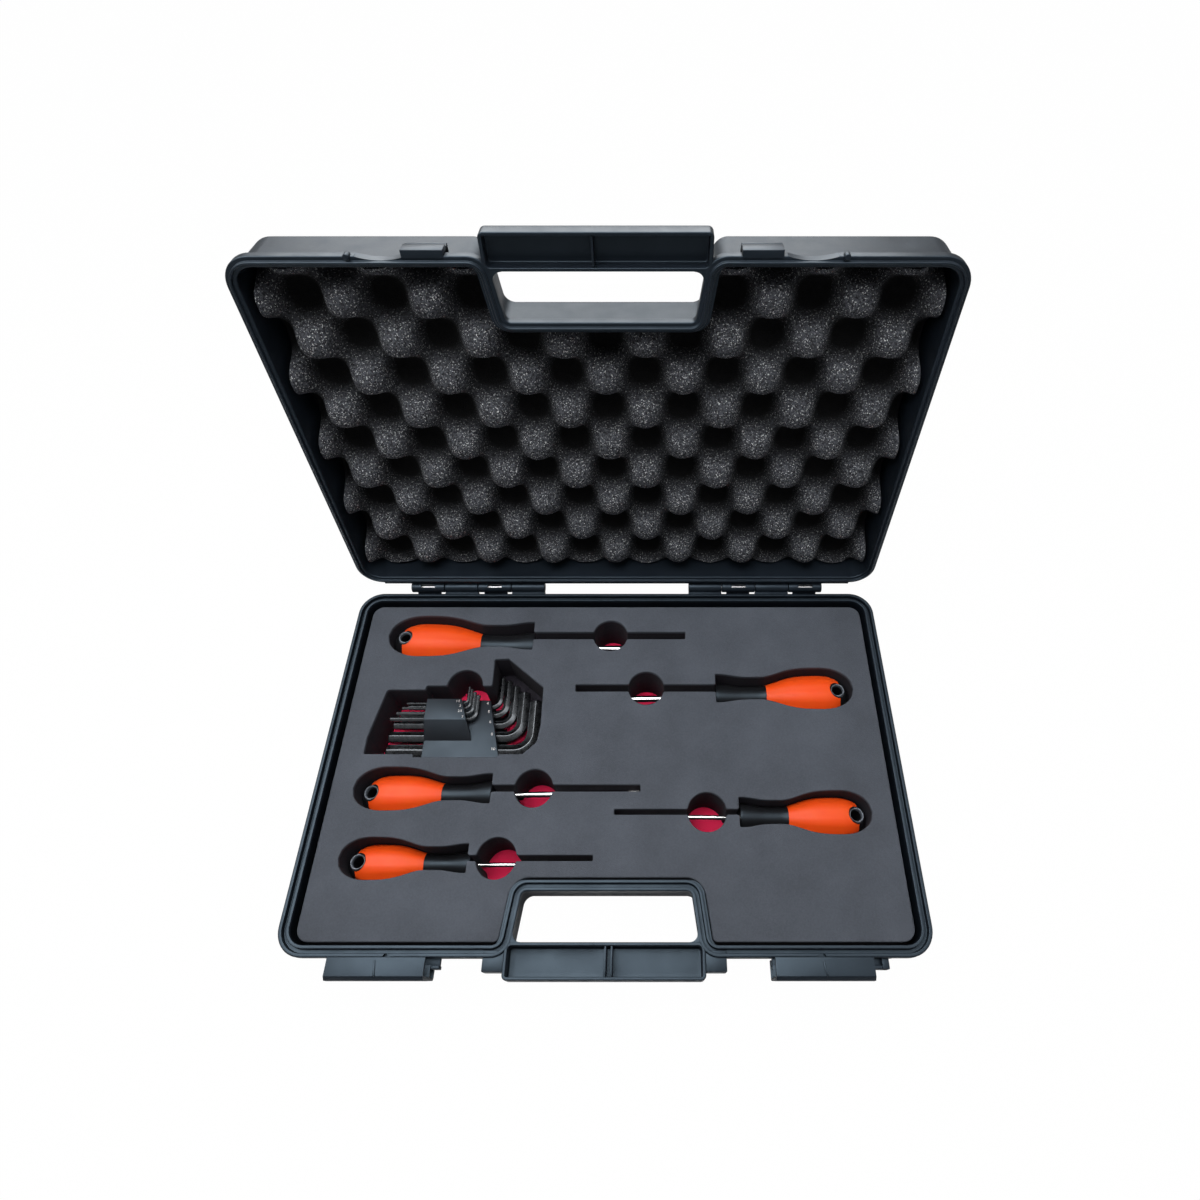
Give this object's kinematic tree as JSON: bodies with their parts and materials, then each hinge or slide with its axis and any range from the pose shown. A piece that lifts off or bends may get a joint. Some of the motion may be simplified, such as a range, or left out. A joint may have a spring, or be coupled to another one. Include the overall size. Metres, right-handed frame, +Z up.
{
  "type": "hard tool case",
  "caption": "Hard tool case with a hinged lid, sliding latches, a split carrying handle and cut foam that holds screwdrivers and a hex key set.",
  "frame": {"origin": "centre of the base's flat underside", "axes": "+X to the right along the hinge line, -Y the handle side, +Z up out of the base; the lid stands open at the back"},
  "size_m": [0.395, 0.3449, 0.3166],
  "materials": {
    "case_plastic": "satin",
    "hinge_pin_steel": "satin",
    "backing_foam": "matte",
    "tray_foam": "matte",
    "lid_foam": "matte",
    "blade_steel": "polished",
    "handle_black": "satin",
    "handle_orange": "satin",
    "key_holder": "satin",
    "key_steel": "satin"
  },
  "bodies": {
    "base": {"base_shell": "case_plastic", "hinge_pin_left": "hinge_pin_steel", "hinge_pin_right": "hinge_pin_steel", "foam_backing": "backing_foam", "foam_tray": "tray_foam"},
    "lid": {"lid_shell": "case_plastic", "lid_foam": "lid_foam"},
    "latch_left": {"latch_slider_left": "case_plastic"},
    "latch_right": {"latch_slider_right": "case_plastic"},
    "screwdriver_1": {"screwdriver_1_blade": "blade_steel", "screwdriver_1_core": "handle_black", "screwdriver_1_grip": "handle_orange"},
    "screwdriver_2": {"screwdriver_2_blade": "blade_steel", "screwdriver_2_core": "handle_black", "screwdriver_2_grip": "handle_orange"},
    "screwdriver_3": {"screwdriver_3_blade": "blade_steel", "screwdriver_3_core": "handle_black", "screwdriver_3_grip": "handle_orange"},
    "screwdriver_4": {"screwdriver_4_blade": "blade_steel", "screwdriver_4_core": "handle_black", "screwdriver_4_grip": "handle_orange"},
    "screwdriver_5": {"screwdriver_5_blade": "blade_steel", "screwdriver_5_core": "handle_black", "screwdriver_5_grip": "handle_orange"},
    "hex_set": {"hex_key_tray": "key_holder", "hex_key_clip": "key_holder", "hex_key_1_5": "key_steel", "hex_key_2": "key_steel", "hex_key_2_5": "key_steel", "hex_key_3": "key_steel", "hex_key_4": "key_steel", "hex_key_5": "key_steel", "hex_key_6": "key_steel", "hex_key_8": "key_steel", "hex_key_10": "key_steel"}
  },
  "joints": [
    {"name": "lid_hinge", "type": "hinge", "parent": "base", "child": "lid", "pos_m": [0, 0.132, 0.0494], "axis": [-1, 0, 0], "range_deg": [-99, 0]},
    {"name": "latch_left_slide", "type": "slide", "parent": "base", "child": "latch_left", "axis": [1, 0, 0], "range_m": [0, 0.029]},
    {"name": "latch_right_slide", "type": "slide", "parent": "base", "child": "latch_right", "axis": [-1, 0, 0], "range_m": [-0.0085, 0.0255]},
    {"name": "screwdriver_1_lift", "type": "slide", "parent": "base", "child": "screwdriver_1", "axis": [0, 0, 1], "range_m": [0, 0.12]},
    {"name": "screwdriver_2_lift", "type": "slide", "parent": "base", "child": "screwdriver_2", "axis": [0, 0, 1], "range_m": [0, 0.12]},
    {"name": "screwdriver_3_lift", "type": "slide", "parent": "base", "child": "screwdriver_3", "axis": [0, 0, 1], "range_m": [0, 0.12]},
    {"name": "screwdriver_4_lift", "type": "slide", "parent": "base", "child": "screwdriver_4", "axis": [0, 0, 1], "range_m": [0, 0.12]},
    {"name": "screwdriver_5_lift", "type": "slide", "parent": "base", "child": "screwdriver_5", "axis": [0, 0, 1], "range_m": [0, 0.12]},
    {"name": "hex_set_lift", "type": "slide", "parent": "base", "child": "hex_set", "axis": [0, 0, 1], "range_m": [0, 0.12]}
  ]
}
